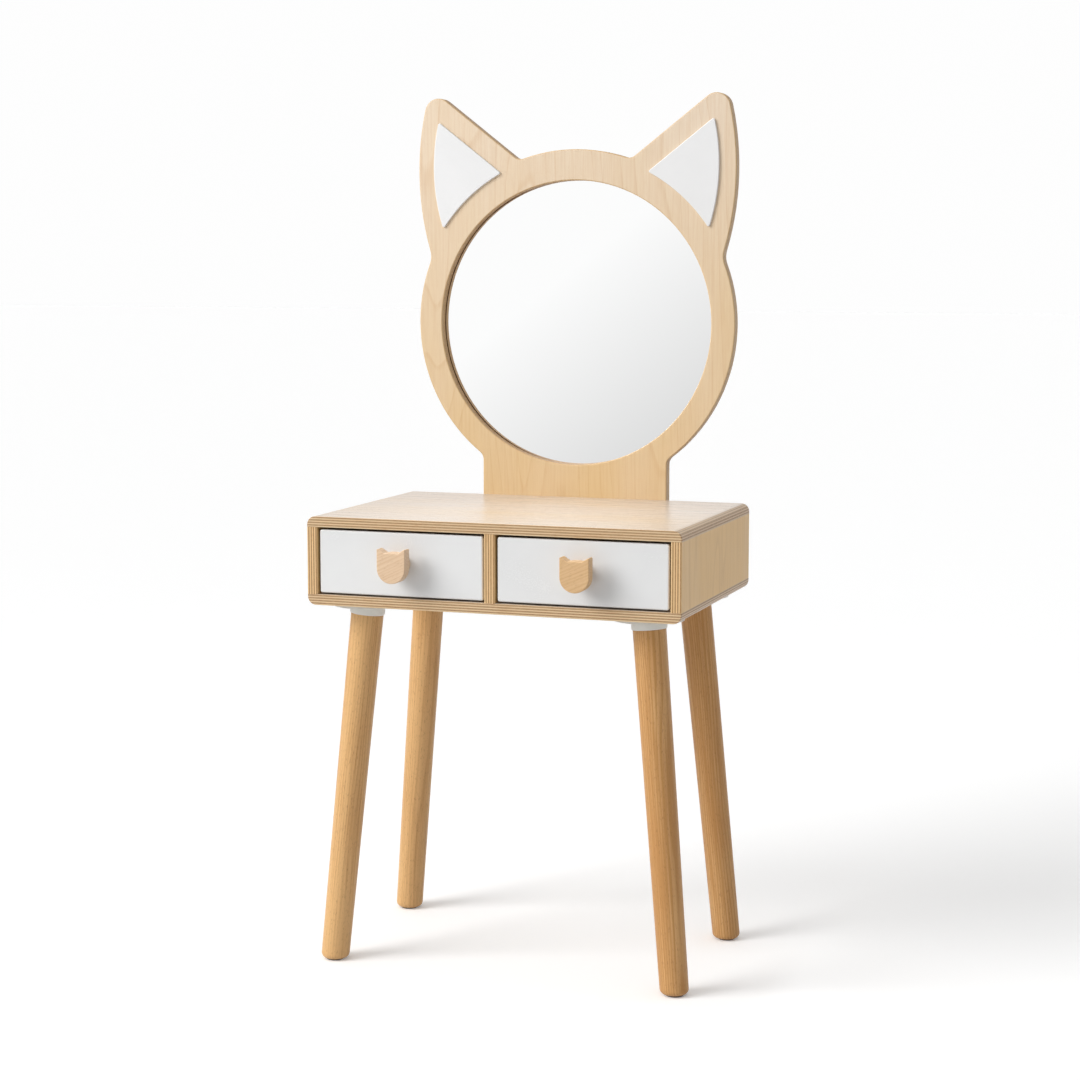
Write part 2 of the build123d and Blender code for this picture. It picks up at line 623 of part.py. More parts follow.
def drawer(label, side):
    """One drawer's pieces, by node name."""
    pieces = {}
    middle = side * BAY_CENTRE_X
    outer = DRAWER_WIDTH / 2
    inner = outer - DRAWER_SIDE_T
    walls = {"left": (middle - outer, middle - inner), "right": (middle + inner, middle + outer)}
    joint_zs = (DRAWER_MID_Z - JOINT_SPREAD / 2, DRAWER_MID_Z + JOINT_SPREAD / 2)

    # Groove for the floor panel, cut into the front, the sides and the back
    floor_low = DRAWER_LOW_Z + DRAWER_FLOOR_RISE
    play = DRAWER_GROOVE_PLAY
    floor_x = (middle - inner - DRAWER_GROOVE_DEPTH, middle + inner + DRAWER_GROOVE_DEPTH)
    floor_y = (DRAWER_BOX_Y - DRAWER_GROOVE_DEPTH, DRAWER_BACK_FACE_Y + DRAWER_GROOVE_DEPTH)
    groove = block(floor_x, floor_y, (floor_low - play, floor_low + DRAWER_FLOOR_T + play))
    pieces["floor"] = block(
        (floor_x[0] + play, floor_x[1] - play), (floor_y[0] + play, floor_y[1] - play),
        (floor_low, floor_low + DRAWER_FLOOR_T))

    # Painted front
    front = block((middle - outer, middle + outer), (DRAWER_FACE_Y, DRAWER_BOX_Y),
                  (FRONT_LOW_Z, FRONT_HIGH_Z))
    front = fillet(front.edges().filter_by(Axis.Y), DRAWER_CORNER_R)
    front = fillet(front.faces().sort_by(Axis.Y)[0].edges(), DRAWER_EDGE_R)
    front -= groove
    back = block((middle - inner, middle + inner), (DRAWER_BACK_FACE_Y, DRAWER_END_Y),
                 (DRAWER_LOW_Z, DRAWER_HIGH_Z)) - groove

    # Sides, dowelled to the front and screwed to the back
    dowels = []
    screws = []
    for wall_label, wall_x in walls.items():
        wall = block(wall_x, (DRAWER_BOX_Y, DRAWER_END_Y), (DRAWER_LOW_Z, DRAWER_HIGH_Z)) - groove
        x = sum(wall_x) / 2
        outwards = 1 if wall_label == "right" else -1
        for z in joint_zs:
            start = (x, DRAWER_BOX_Y - DRAWER_DOWEL_SEAT, z)
            end = (x, DRAWER_BOX_Y - DRAWER_DOWEL_SEAT + DRAWER_DOWEL_LENGTH, z)
            deeper = (x, end[1] + DOWEL_END_PLAY, z)
            hole = rod(DRAWER_DOWEL_D / 2 + FIT_PLAY, start, deeper)
            front -= hole
            wall -= hole
            dowels.append(dowel(DRAWER_DOWEL_D, start, end))

            sunk = DRAWER_SCREW_D * HEAD_HEIGHT
            y = (DRAWER_BACK_FACE_Y + DRAWER_END_Y) / 2
            bearing = (middle + outwards * (outer - sunk), y, z)
            inwards = (-outwards, 0, 0)
            hole = pilot(DRAWER_SCREW_D, bearing, inwards, DRAWER_SCREW_LENGTH)
            wall -= hole
            back -= hole
            head_room = DRAWER_SCREW_D * HEAD_WIDTH / 2 + HEAD_PLAY
            wall -= rod(head_room, bearing, (middle + outwards * (outer + CUT_PAST), y, z))
            screws.append(screw(DRAWER_SCREW_D, bearing, inwards, DRAWER_SCREW_LENGTH))
        pieces[f"{wall_label}_side"] = wall

    # Knob on its stem, held by a screw from inside the drawer
    stem_back = (middle, DRAWER_FACE_Y, KNOB_Z)
    stem_front = (middle, DRAWER_FACE_Y - KNOB_STEM_LENGTH, KNOB_Z)
    screw_length = DRAWER_FRONT_T + KNOB_STEM_LENGTH + KNOB_SCREW_GRIP
    bearing = (middle, DRAWER_BOX_Y, KNOB_Z)
    hole = pilot(KNOB_SCREW_D, bearing, (0, -1, 0), screw_length)
    knob = extrude(facing_front(stem_front[1]) * Pos(middle, KNOB_Z) * knob_outline(), KNOB_T)
    knob = fillet(knob.faces().sort_by(Axis.Y)[0].edges(), KNOB_EDGE_R)

    pieces["front"] = front - hole
    pieces["back"] = back
    pieces["dowels"] = dowels
    pieces["screws"] = screws
    pieces["knob_stem"] = rod(KNOB_STEM_D / 2, stem_back, stem_front) - hole
    pieces["knob"] = knob - hole
    pieces["knob_screw"] = screw(KNOB_SCREW_D, bearing, (0, -1, 0), screw_length)
    return {f"{label}_drawer_{name}": shape for name, shape in pieces.items()}


for label, side in SIDES.items():
    nodes.update(drawer(label, side))

# ---------------------------------------------------------------------------
# Write one STEP per node, with the origin on the floor under the middle of the table
# ---------------------------------------------------------------------------

BACKMOST_Y = BOARD_BACK_Y + max(
    COVER_T + COVER_SCREW_D * HEAD_HEIGHT, WASHER_T + BOARD_SCREW_D * HEAD_HEIGHT)
ORIGIN_Y = (KNOB_FACE_Y + BACKMOST_Y) / 2

os.makedirs("parts", exist_ok=True)
to_origin = Pos(0, -ORIGIN_Y, 0)
for name, shape in nodes.items():
    if isinstance(shape, list):
        placed = Compound(children=[to_origin * piece.solid() for piece in shape])
    else:
        placed = to_origin * shape
    export_step(placed, f"parts/{name}.step")

print(f"{len(nodes)} nodes")
print(f"drawer travel {DRAWER_TRAVEL} mm")
print(f"origin at Y {ORIGIN_Y:.3f} of the case's own middle")
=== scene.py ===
# %% [markdown]
# # A child's dressing table
#
# The table is a low case with two drawers on four splayed beech legs. A birch plywood
# board cut as a cat's head stands behind the case and holds a round mirror.
# The shapes come ready made as CAD solids. This lesson gives each of them the finish of the
# real thing, adds the small hardware that CAD leaves plain, and sets up the studio.

# %% Load the frame and keep its size
import math

import bmesh
import bpy
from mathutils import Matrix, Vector


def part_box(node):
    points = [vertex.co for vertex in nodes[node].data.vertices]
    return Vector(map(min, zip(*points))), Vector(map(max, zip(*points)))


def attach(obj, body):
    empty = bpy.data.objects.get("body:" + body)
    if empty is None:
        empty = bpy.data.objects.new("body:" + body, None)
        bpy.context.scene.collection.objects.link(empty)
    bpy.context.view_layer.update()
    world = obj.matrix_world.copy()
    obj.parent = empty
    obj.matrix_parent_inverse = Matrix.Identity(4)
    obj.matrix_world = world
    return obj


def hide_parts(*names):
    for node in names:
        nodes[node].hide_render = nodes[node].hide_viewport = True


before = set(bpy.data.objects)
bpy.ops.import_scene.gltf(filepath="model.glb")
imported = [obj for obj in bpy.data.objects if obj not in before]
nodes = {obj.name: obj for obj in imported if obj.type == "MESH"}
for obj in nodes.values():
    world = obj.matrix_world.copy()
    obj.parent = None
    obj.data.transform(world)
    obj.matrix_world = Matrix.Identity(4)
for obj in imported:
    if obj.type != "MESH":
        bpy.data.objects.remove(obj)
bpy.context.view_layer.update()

# %% [markdown]
# ## Camera
#
# The table is seen from the front right, a little above the drawers. A long lens keeps the
# case nearly square on, with the far legs only slightly smaller than the near ones. The
# camera is aimed with `to_track_quat`, which turns a direction into a rotation.

# %% Camera
CAMERA_PLACE = Vector((0.9065, -2.5680, 0.8372))
CAMERA_AIM = Vector((0.0082, 0.0035, 0.4990))
LENS = 77.16


def aim_at(thing, place, target):
    """Puts a camera or a light in its place, turned towards the target."""
    thing.location = place
    thing.rotation_euler = (target - place).to_track_quat("-Z", "Y").to_euler()


def add_to_scene(name, data):
    """An object for this camera, light or mesh, linked into the scene."""
    thing = bpy.data.objects.new(name, data)
    bpy.context.scene.collection.objects.link(thing)
    return thing


camera = add_to_scene("studio_camera", bpy.data.cameras.new("studio_camera"))
camera.data.lens = LENS
camera.data.clip_end = 60
aim_at(camera, CAMERA_PLACE, CAMERA_AIM)
bpy.context.scene.camera = camera
print("camera", round((CAMERA_AIM - CAMERA_PLACE).length, 3), "m from what it looks at")

# %% [markdown]
# ## Shader arithmetic
#
# A finish is a sum of small effects: a grain line here, a pore there. Node by node that is
# slow to read, so two small classes carry it. `Wire` wraps one socket and knows how to be
# added, multiplied or compared, and every operation adds one Math node, or a Vector Math
# node for a vector. `Bench` holds a node tree, and its one method `node` adds any other node.

# %% Wires and the bench they lie on
class Wire:
    """One output socket, which can be used in a sum like a number."""

    def __init__(self, bench, socket):
        self.bench = bench
        self.socket = socket

    def out(self, name):
        """Another output of the same node."""
        return Wire(self.bench, self.socket.node.outputs[name])

    def join(self, operation, first, second=None):
        """A Math node, or a Vector Math node where one of the values is a vector."""
        values = [value for value in (first, second) if value is not None]
        vectors = [
            value for value in values
            if isinstance(value, tuple)
            or (isinstance(value, Wire) and value.socket.type == "VECTOR")]
        kind = "ShaderNodeVectorMath" if vectors else "ShaderNodeMath"
        if vectors:
            values = [(value,) * 3 if isinstance(value, (int, float)) else value
                      for value in values]
        return self.bench.node(kind, {"operation": operation}, dict(enumerate(values)))

    def __add__(self, other):
        return self.join("ADD", self, other)

    def __radd__(self, other):
        return self.join("ADD", other, self)

    def __sub__(self, other):
        return self.join("SUBTRACT", self, other)

    def __rsub__(self, other):
        return self.join("SUBTRACT", other, self)

    def __mul__(self, other):
        return self.join("MULTIPLY", self, other)

    def __rmul__(self, other):
        return self.join("MULTIPLY", other, self)

    def __truediv__(self, other):
        return self.join("DIVIDE", self, other)

    def __rtruediv__(self, other):
        return self.join("DIVIDE", other, self)

    def __pow__(self, other):
        return self.join("POWER", self, other)

    def __gt__(self, other):
        return self.join("GREATER_THAN", self, other)

    def __abs__(self):
        return self.join("ABSOLUTE", self)

    def dot(self, direction):
        """How far a vector goes along a direction."""
        return self.join("DOT_PRODUCT", self, direction).out("Value")

    def floor(self):
        return self.join("FLOOR", self)

    def fraction(self):
        return self.join("FRACT", self)

    def at_least(self, low):
        return self.join("MAXIMUM", self, low)

    def at_most(self, high):
        return self.join("MINIMUM", self, high)

    def ramp(self, start, end, low=0.0, high=1.0):
        """Rises smoothly from low to high as this value goes from start to end."""
        return self.bench.node(
            "ShaderNodeMapRange", {"interpolation_type": "SMOOTHSTEP", "clamp": True},
            {"Value": self, "From Min": start, "From Max": end, "To Min": low, "To Max": high})


class Bench:
    """A node tree, and the one method that puts a node on it."""

    def __init__(self, tree):
        self.tree = tree

    def plug(self, socket, value):
        """Gives an input socket a wire or a plain value."""
        if isinstance(value, Wire):
            self.tree.links.new(value.socket, socket)
        elif socket.type == "RGBA":
            socket.default_value = (*value, 1.0)
        else:
            socket.default_value = value

    def node(self, kind, settings=None, sockets=None, out=0):
        """Adds a node: its settings first, then its sockets. Returns one of its outputs."""
        made = self.tree.nodes.new(kind)
        for name, value in (settings or {}).items():
            setattr(made, name, value)
        for name, value in (sockets or {}).items():
            self.plug(made.inputs[name], value)
        return Wire(self, made.outputs[out])

    def blend(self, share, first, second):
        """From the first colour to the second one as share goes from 0 to 1."""
        return self.node(
            "ShaderNodeMix", {"data_type": "RGBA"}, {0: share, 6: first, 7: second}, 2)

    def noise(self, place, detail=2.0, roughness=0.5, distortion=0.0):
        """Soft noise at a place that is already scaled, mostly from 0.25 to 0.75."""
        return self.node("ShaderNodeTexNoise", {"noise_dimensions": "3D"}, {
            "Vector": place, "Scale": 1.0, "Detail": detail, "Roughness": roughness,
            "Distortion": distortion})

    def gather(self, x, y, z):
        """One vector from three values."""
        return self.node("ShaderNodeCombineXYZ", None, {"X": x, "Y": y, "Z": z})


class Finish(Bench):
    """A material for one of the table's finishes, with its shader's fixed values."""

    def __init__(self, name, **fixed):
        self.material = bpy.data.materials.new(name)
        self.material.use_nodes = True
        super().__init__(self.material.node_tree)
        self.skin = self.tree.nodes["Principled BSDF"]
        for socket, value in fixed.items():
            self.plug(self.skin.inputs[socket.replace("_", " ")], value)
        self.place = self.node("ShaderNodeTexCoord", out="Object")
        spread = self.node("ShaderNodeSeparateXYZ", None, {"Vector": self.place})
        self.x = spread
        self.y = spread.out("Y")
        self.z = spread.out("Z")

    def facing(self):
        """The surface's direction, as three values by axis letter."""
        spread = self.node(
            "ShaderNodeSeparateXYZ", None, {"Vector": self.place.out("Normal")})
        return {"X": spread, "Y": spread.out("Y"), "Z": spread.out("Z")}

    def set(self, socket, value):
        """Feeds one of the shader's sockets."""
        self.plug(self.skin.inputs[socket], value)

    def relief(self, height, depth):
        """Raises the surface by depth metres where height is 1."""
        bump = self.node(
            "ShaderNodeBump", None, {"Strength": 1.0, "Distance": depth, "Height": height})
        self.set("Normal", bump)


def grey(value):
    """A colour with the same red, green and blue."""
    return (value, value, value)


print("shader helpers ready")

# %% [markdown]
# ## Studio
#
# The table stands on white paper in a white room. The room is the world: plain white to look
# at, but dimmer as a light than it looks, or the table would lose its shadows. The mirror
# faces one part of it, and there its brightness falls off gently downwards and to the right,
# as in a real studio. The world's own nodes can do all that, because a Light Path node says
# whether a ray comes from the camera, from a reflection or from a matt surface.

# %% White room
ROOM_SEEN = 0.988
ROOM_LIGHT = 0.34
ROOM_FALL = (-2.0, 0.0, 2.4)
MIRROR_FACES = (-0.32, -0.95, -0.016)
ROOM_IN_MIRROR = 0.985
ROOM_DIMMEST = 0.6

world = bpy.data.worlds.new("white_room")
world.use_nodes = True
bpy.context.scene.world = world
room = Bench(world.node_tree)
looks_to = room.node("ShaderNodeTexCoord", out="Generated")
fall = (looks_to - MIRROR_FACES).dot(ROOM_FALL)
in_front = looks_to.dot((0.0, -1.0, 0.0)).ramp(0.3, 0.7)
mirrored = (ROOM_IN_MIRROR + fall).at_most(1.0).at_least(ROOM_DIMMEST)
glossy = ROOM_SEEN + in_front * (mirrored - ROOM_SEEN)
from_camera = room.node("ShaderNodeLightPath", out="Is Camera Ray")
lit = glossy + from_camera.out("Is Diffuse Ray") * (ROOM_LIGHT - glossy)
strength = lit + from_camera * (ROOM_SEEN - lit)
background = world.node_tree.nodes["Background"]
room.plug(background.inputs["Color"], grey(1.0))
room.plug(background.inputs["Strength"], strength)
print("room light", ROOM_LIGHT, "of", ROOM_SEEN)

# %% [markdown]
# ## Paper floor
#
# Studio paper runs back until its far end can't be told from the room. Paper that white would
# throw so much light back that the underside of the case goes pale, so it is two papers in
# one: a lightly grey one for the light that bounces, and a near white one with a faint glow
# for the camera and for the mirror. The paper stops in front of the table, outside what the
# mirror shows to this camera.

# %% Paper floor
FLOOR_BACK = 30.0
FLOOR_FRONT = -3.2
PAPER_LIT = (grey(0.69), grey(0.71))
PAPER_SEEN = (grey(0.925), grey(0.935))
PAPER_GLOW = 0.178
MOTTLE_PER_M = 3.0

floor_mesh = bpy.data.meshes.new("studio_floor")
corners = [(-FLOOR_BACK, FLOOR_FRONT, 0), (FLOOR_BACK, FLOOR_FRONT, 0),
           (FLOOR_BACK, FLOOR_BACK, 0), (-FLOOR_BACK, FLOOR_BACK, 0)]
floor_mesh.from_pydata(corners, [], [range(4)])
floor = add_to_scene("studio_floor", floor_mesh)
paper = Finish("white_paper_floor", Roughness=0.95, Specular_IOR_Level=0.0)
mottle = paper.noise(paper.place * MOTTLE_PER_M)
from_camera = paper.node("ShaderNodeLightPath", out="Is Camera Ray")
seen_only = (from_camera + from_camera.out("Is Glossy Ray")).at_most(1.0)
as_lit = paper.blend(mottle, *PAPER_LIT)
as_seen = paper.blend(mottle, *PAPER_SEEN)
paper.set("Base Color", paper.blend(seen_only, as_lit, as_seen))
paper.set("Emission Color", grey(1.0))
paper.set("Emission Strength", seen_only * PAPER_GLOW)
floor_mesh.materials.append(paper.material)
print("floor runs from", FLOOR_FRONT, "to", FLOOR_BACK, "m")

# %% [markdown]
# ## Lights
#
# A big softbox far off at the front left makes the soft shadows to the right. It is a sun lamp
# with a wide angle, because its light is as strong at the far end of the floor as at the near
# one, where a close area lamp would leave the floor grey. A second, even wider one hangs above.
# A white card close by on the left lifts that side a little, and a soft spot straight down
# gives the middle of the top its sheen.

# %% Lights
AIM = Vector((0.0, 0.0, 0.55))


def sun_lamp(name, place, spread, strength):
    """A very distant softbox: its spread in degrees is how wide it looks from the table."""
    light = bpy.data.lights.new(name, "SUN")
    light.angle = math.radians(spread)
    light.energy = strength
    aim_at(add_to_scene(name, light), AIM + Vector(place), AIM)


def white_card(name, place, width, watts):
    """A square card close to the table that glows evenly."""
    light = bpy.data.lights.new(name, "AREA")
    light.size = width
    light.energy = watts
    aim_at(add_to_scene(name, light), AIM + Vector(place), AIM)


def down_spot(name, place, spread, watts, tint):
    """A soft round patch of light straight below its place."""
    light = bpy.data.lights.new(name, "SPOT")
    light.spot_size = math.radians(spread)
    light.spot_blend = 1.0
    light.color = tint
    light.shadow_soft_size = 0.05
    light.energy = watts
    add_to_scene(name, light).location = AIM + Vector(place)


sun_lamp("key_lamp", (-2.05, -1.85, 1.45), 36, 1.72)
sun_lamp("top_lamp", (-0.6, -0.2, 2.6), 100, 0.88)
white_card("left_card", (-1.1, -0.9, 0.95), 0.8, 7.5)
down_spot("sheen_spot", (0.03, -0.10, 1.0), 30, 15.0, (0.85, 0.94, 1.0))
bpy.context.scene.view_settings.view_transform = "Standard"
print("lights:", [light.name for light in bpy.data.lights])

# %% [markdown]
# ## Birch plywood
#
# Plywood is a stack of veneers, glued with their grain crossed in turn. On the flat faces
# only the outer veneer shows, with the flame figure of a peeled log. On every cut edge the
# stack shows: light bands where the fibres run along the edge, dark ones where they are cut
# across. A picture of that on each face would never meet at the corners, so the finish is
# solid: every point knows which veneer it is in from its place through the thickness, and
# the rounded corners and the round hole then show the right bands by themselves.
#
# The flame figure is a map of contour lines. A soft noise, long along the grain, is the
# height, and its fraction after multiplying is the line between one year's growth and the next.

# %% What plywood is made of
LONG_PLY = 0.00178
CROSS_PLY = 0.00118
GLUE_SHARE = 0.07
BIRCH_PALE = (0.798, 0.658, 0.505)
BIRCH_WARM = (0.715, 0.510, 0.265)
BIRCH_SIDE = (0.825, 0.532, 0.215)
# The top's paler, greyer birch is partly the wood's colour and partly painted sheen.
BIRCH_TOP_AND_SHEEN = (0.622, 0.532, 0.448)
BIRCH_LINE = (0.540, 0.290, 0.105)
BIRCH_END = (0.330, 0.150, 0.048)
GLUE = (0.170, 0.080, 0.030)
EDGE_WARMTH = 0.68

# How often each pattern repeats in a metre, along the grain and across it
FLAME_PER_M = (1.3, 10.0)
CLOUDS_PER_M = (3.0, 10.0)
FIBRES_PER_M = (14.0, 380.0)
PORES_PER_M = (160.0, 1900.0)
SPECKS_PER_M = 420.0
YEARS_PER_FLAME = 15.0

# How dark cut fibres are, in a veneer with the face grain and in a crossed one
END_OF_LONG = 0.34
END_OF_CROSS = 0.72
SIDE_OF_CROSS = 0.80
AXES = "XYZ"
print("one pair of veneers is", round((LONG_PLY + CROSS_PLY) * 1000, 2), "mm")

# %% Plywood from its stack of veneers
def stretched(wood, along, side, sheet, per_metre, detail, roughness, distortion=0.0):
    """Noise that is drawn out along the grain, different in every sheet."""
    place = wood.gather(along * per_metre[0], side * per_metre[1], sheet)
    return wood.noise(place, detail, roughness, distortion)


def plywood(name, grain, through, low, high, warmth=0.5, paler_and_lit_up=None, gloss=0.30, seed=0.0,
            pale=BIRCH_PALE, warm=BIRCH_WARM, shine=0.5, edge=EDGE_WARMTH):
    """Birch plywood with its face grain along one axis and its veneers stacked along another."""
    wood = Finish(name, Specular_IOR_Level=shine)
    across = AXES.replace(grain, "").replace(through, "")
    at = {"X": wood.x, "Y": wood.y, "Z": wood.z}
    facing = wood.facing()

    # Which veneer: whole pairs from the low face, then the long or the cross one of the pair
    pair = LONG_PLY + CROSS_PLY
    long_share = LONG_PLY / pair
    deepest = (high - low) / pair
    skin = 1.5 * GLUE_SHARE
    depth = ((at[through] - low) / pair).at_least(skin).at_most(deepest - skin)
    layer = depth.floor()
    part = depth - layer
    cross = part > long_share

    # Distance along and across the fibres of that veneer, which swap places in a cross one
    turn = at[across] - at[grain]
    along = at[grain] + turn * cross
    side = at[across] - turn * cross
    sheet = layer * 1.7 + cross * 0.6 + seed

    # Flame figure, fibres, clouds and pores
    height = stretched(wood, along, side, sheet, FLAME_PER_M, 1.5, 0.4, 0.12)
    year = (height * YEARS_PER_FLAME).fraction()
    line = year.ramp(0.84, 0.95) * (1.0 - year.ramp(0.96, 1.0))
    flame = line * 0.45 + year * 0.25
    fibre = stretched(wood, along, side, sheet + 5.0, FIBRES_PER_M, 4.0, 0.7)
    cloud = stretched(wood, along, side, sheet + 9.0, CLOUDS_PER_M, 2.0, 0.5)
    pore = stretched(wood, along, side, sheet + 3.0, PORES_PER_M, 1.0, 0.5)
    pores = pore.ramp(0.66, 0.74)

    # Pale or warm birch, by the cloud, the height on the board and whether it is an edge
    edge_on = 1.0 - abs(facing[through]).ramp(0.90, 0.99)
    share = warmth + (cloud - 0.5) * 0.9
    # Paler towards the top of the board: partly the birch's own colour, partly painted light.
    if paler_and_lit_up:
        share = share - wood.z.ramp(*paler_and_lit_up) * 0.75
    share = share + edge_on * (edge - share)
    pale = wood.blend(edge_on, pale, BIRCH_PALE)
    colour = wood.blend(share.at_least(0.0).at_most(1.0), pale, warm)
    shade = flame * 0.30 + (fibre - 0.45) * 0.75 + pores * 0.15
    colour = wood.blend(shade.at_least(0.0), colour, BIRCH_LINE)

    # Fibres cut across are darker, and the glue between two veneers is a thin dark line
    end_long = abs(facing[grain])
    end_cross = abs(facing[across])
    specks = wood.noise(
        wood.gather(*[at[axis] * SPECKS_PER_M for axis in AXES]), 2.0, 0.7)
    cut_long = end_long * END_OF_LONG * (1.0 - cross)
    cut_cross = (end_cross * END_OF_CROSS + end_long * SIDE_OF_CROSS) * cross
    cut = (cut_long + cut_cross) * specks.ramp(0.2, 0.8, 0.75, 1.15)
    to_glue = abs(part - long_share).at_most(part).at_most(1.0 - part)
    glue = (1.0 - to_glue.ramp(GLUE_SHARE / 2, GLUE_SHARE)) * edge_on
    colour = wood.blend(cut, colour, BIRCH_END)
    wood.set("Base Color", wood.blend(glue * 0.85, colour, GLUE))

    wood.set("Roughness", gloss + fibre * 0.10 + cut * 0.25)
    wood.relief(fibre * 0.6 - pores * 0.8 - cut * 0.5, 0.00005)
    return wood.material


def dress(material, *names):
    """Gives CAD nodes their finish."""
    for name in names:
        for slot in nodes[name].material_slots:
            slot.material = material


def along_axis(name, axis):
    """Where a node starts and ends along an axis."""
    low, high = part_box(name)
    return low[AXES.index(axis)], high[AXES.index(axis)]


print("plywood ready")

# %% [markdown]
# ## Case, board and thin panels
#
# Which way the grain of each panel runs decides how its edges look. The top and the bottom
# have it from left to right, the sides and the divider upwards, and so has the board, which
# turns paler from the neck towards the ears: partly the birch's own colour, partly painted
# light. One material for each panel keeps the figure of one from running on into the next.

# %% Plywood panels
# Top and bottom take the paler, greyer birch, which is partly painted sheen.
for seed, name in enumerate(["top_panel", "bottom_panel"]):
    finish = plywood(
        f"{name}_birch_ply", "X", "Z", *along_axis(name, "Z"), warmth=0.05, gloss=0.23,
        seed=20.0 + seed, pale=BIRCH_TOP_AND_SHEEN, shine=0.42)
    dress(finish, name)
for seed, name in enumerate(["left_side_panel", "right_side_panel", "centre_divider"]):
    finish = plywood(
        f"{name}_birch_ply", "Z", "X", *along_axis(name, "X"), warmth=0.9, gloss=0.34,
        seed=30.0 + seed, warm=BIRCH_SIDE, shine=0.25)
    dress(finish, name)
table_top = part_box("top_panel")[1].z
board_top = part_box("mirror_frame")[1].z
finish = plywood(
    "mirror_board_birch_ply", "Z", "Y", *along_axis("mirror_frame", "Y"), warmth=0.85,
    paler_and_lit_up=(table_top, board_top), gloss=0.34, seed=41.0, edge=1.0)
dress(finish, "mirror_frame")
for name, axis in {"case_back_panel": "Y", "left_drawer_floor": "Z",
                   "right_drawer_floor": "Z"}.items():
    finish = plywood(
        f"{name}_thin_ply", "X", axis, *along_axis(name, axis), warmth=0.45, gloss=0.50,
        seed=50.0)
    dress(finish, name)
print("plywood materials:", len([m for m in bpy.data.materials if "ply" in m.name]))

# %% [markdown]
# ## Beech
#
# The legs are turned from steamed beech, a pinkish tan wood. Its mark is thousands of short
# dark flecks, the rays, lying along the grain over faint straight growth lines. Each pattern
# is a noise that is much finer across the grain than along it, so it draws out into streaks.

# %% Beech for turned and shaped parts
BEECH_PALE = (0.738, 0.450, 0.198)
BEECH_DARK = (0.520, 0.260, 0.088)
BEECH_RAY = (0.270, 0.110, 0.038)


def beech(wood, right, back, along, seed, tones, gloss=0.38, flecked=0.40, tone_and_shade=0.22):
    """Solid beech with its fibres along one of three wires, the other two across it."""
    pale, dark, ray = tones

    def streaks(across_per_m, along_per_m, detail, roughness):
        place = wood.gather(
            right * across_per_m, back * across_per_m, along * along_per_m + seed)
        return wood.noise(place, detail, roughness)

    drift = streaks(26.0, 2.6, 2.0, 0.5)
    year = (right * 290.0 + back * 130.0 + drift * 7.0 + seed).fraction()
    line = year.ramp(0.35, 0.95) * (1.0 - year.ramp(0.95, 1.0))
    fibre = streaks(520.0, 9.0, 4.0, 0.65)
    flecks = streaks(1250.0, 210.0, 1.5, 0.5).ramp(0.60, 0.70)
    cloud = streaks(20.0, 5.0, 2.0, 0.5)
    # The last term moves the colour towards the dark tone: the wood's own tone, and on the
    # right-hand legs painted shade.
    share = line * 0.45 + (fibre - 0.5) * 2.0 + (cloud - 0.5) * 1.4 + tone_and_shade
    colour = wood.blend(share.at_least(0.0).at_most(1.0), pale, dark)
    wood.set("Base Color", wood.blend(flecks * flecked, colour, ray))
    wood.set("Roughness", gloss + fibre * 0.10 + flecks * 0.10)
    wood.relief(fibre * 0.5 - flecks, 0.00006)
    return wood.material


print("beech ready")

# %% [markdown]
# ## Legs
#
# Each leg leans its own way, and its grain leans with it. The lean is measured from the CAD
# leg: taking it off x and y at each height stands all four upright for the shader, so one
# material does for all. The legs on the right are coloured a deeper, darker red-brown, which
# is painted shade for the side away from the key lamp.

# %% Legs
LEG_NODES = [f"{end}_{side}_leg" for end in ("front", "back") for side in ("left", "right")]
END_RING = 0.004
LEFT_REDNESS = 0.04
# On the right-hand legs the shift towards dark beech is painted shade.
RIGHT_LEG_PAINTED_SHADE = 0.70


def leg_lean(name):
    """How far the leg's axis leaves the middle along x and y for each metre down."""
    low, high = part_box(name)
    mesh = nodes[name].data
    tips = []
    for level in (low.z, high.z):
        ring = [v.co for v in mesh.vertices if abs(v.co.z - level) < END_RING]
        tips.append(sum(ring, Vector()) / len(ring))
    slope = (tips[0] - tips[1]) / (tips[1].z - tips[0].z)
    return abs(slope.x), abs(slope.y)


lean_x, lean_y = leg_lean("front_left_leg")
print("legs lean", round(math.degrees(math.atan(lean_x)), 1), "and",
      round(math.degrees(math.atan(lean_y)), 1), "degrees")
leg_wood = Finish("leg_beech", Specular_IOR_Level=0.28)
on_right = leg_wood.x > 0.0
at_back = leg_wood.y > 0.0
leg_seed = on_right * 3.7 + at_back * 8.3
leg_material = beech(
    leg_wood,
    abs(leg_wood.x) + leg_wood.z * lean_x + leg_seed,
    abs(leg_wood.y) + leg_wood.z * lean_y,
    leg_wood.z, leg_seed, (BEECH_PALE, BEECH_DARK, BEECH_RAY), gloss=0.36,
    tone_and_shade=LEFT_REDNESS + on_right * (RIGHT_LEG_PAINTED_SHADE - LEFT_REDNESS))
dress(leg_material, *LEG_NODES)

# %% [markdown]
# ## Knobs, dowels and stop blocks
#
# The knobs are sawn from the same wood, but the left one is paler, as loose parts from two
# boards are. Their grain runs across the head at a slant, so its two directions are turned by
# that slant first. The dowels and the stop blocks have straight grain from left to right.

